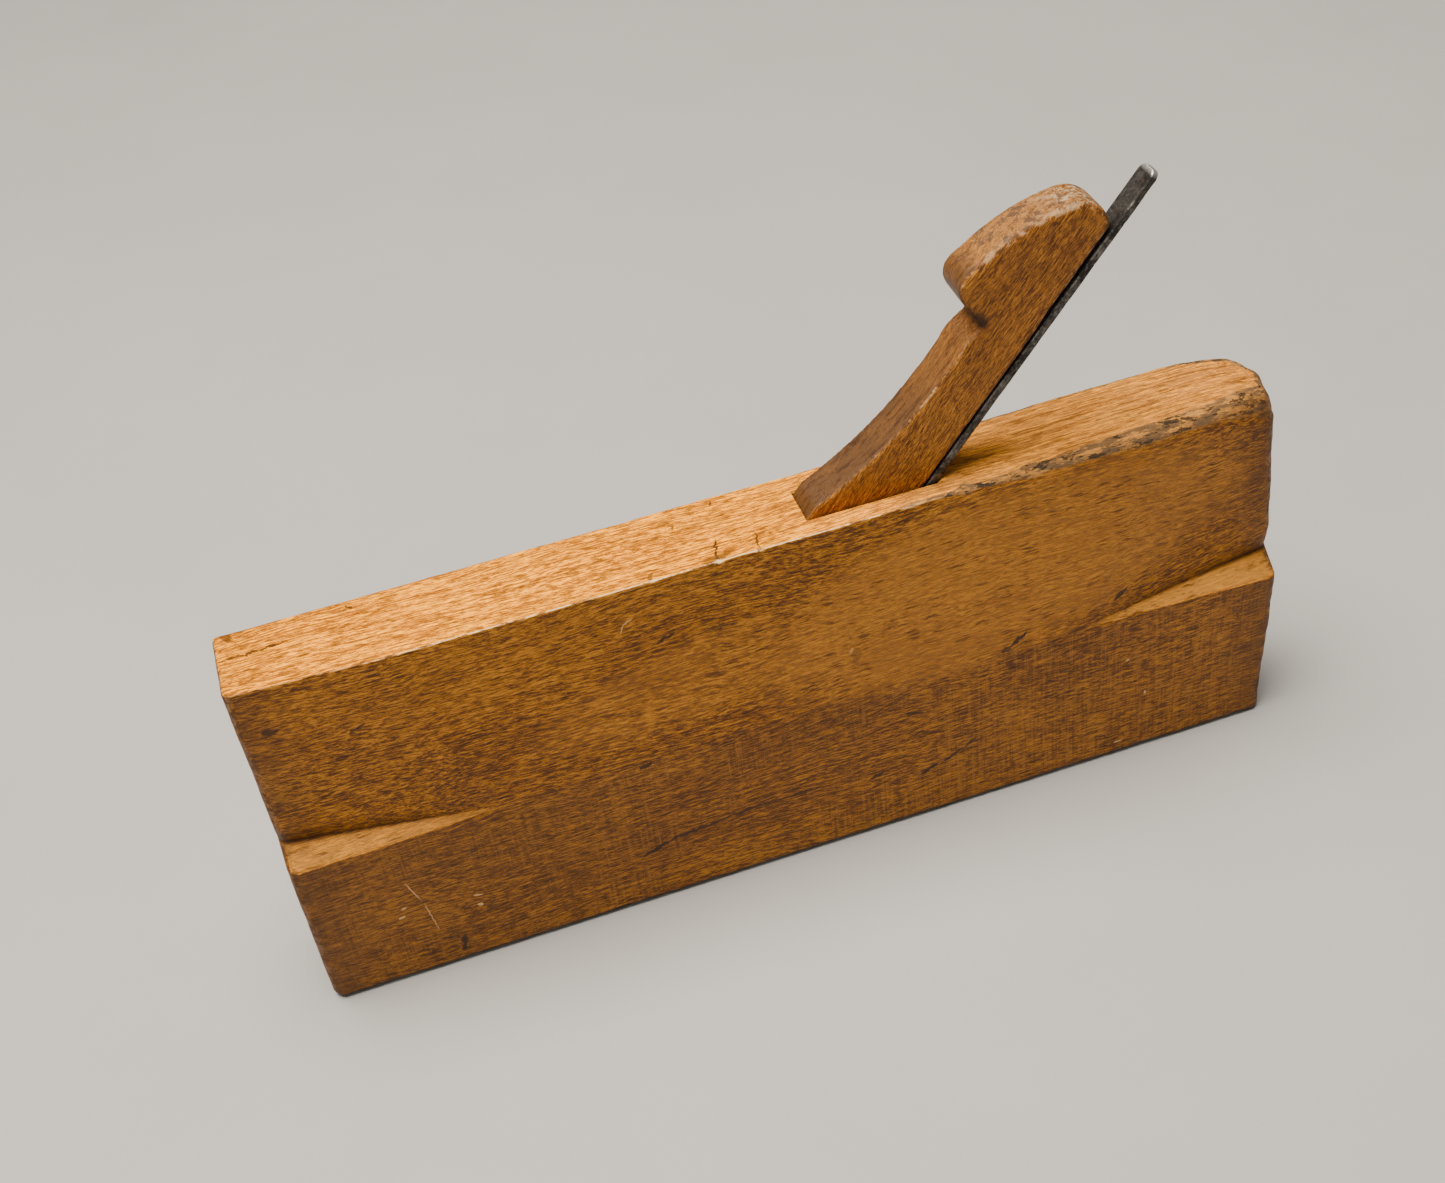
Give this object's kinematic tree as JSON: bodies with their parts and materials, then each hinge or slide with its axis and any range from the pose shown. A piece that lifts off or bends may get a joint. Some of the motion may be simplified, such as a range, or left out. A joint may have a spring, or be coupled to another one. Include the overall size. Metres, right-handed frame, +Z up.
{
  "type": "wooden moulding plane",
  "caption": "Wooden side-escapement moulding plane: long narrow beech stock, tapered wedge with a rounded head, and a tanged steel iron bedded at a steep pitch.",
  "frame": {"origin": "middle of the stock's footprint, on the plane of the sole's two lands", "axes": "+X from toe to heel, +Y towards the open side where shavings leave, +Z up from the sole"},
  "size_m": [0.241, 0.0252, 0.1584],
  "materials": {
    "beech_stock": "oiled, hand-worn satin",
    "beech_wedge": "oiled, hand-worn satin",
    "forged_steel": "dark, pitted and forged, with a bare ground edge"
  },
  "bodies": {
    "stock": {"stock": "beech_stock"},
    "wedge": {"wedge": "beech_wedge"},
    "iron": {"iron": "forged_steel"}
  },
  "joints": [
    {"name": "wedge_slide", "type": "slide", "parent": "stock", "child": "wedge", "axis": [0.6361, 0, 0.7716], "range_m": [0, 0.112]},
    {"name": "iron_slide", "type": "slide", "parent": "stock", "child": "iron", "axis": [0.6361, 0, 0.7716], "range_m": [-0.002, 0.005]}
  ]
}
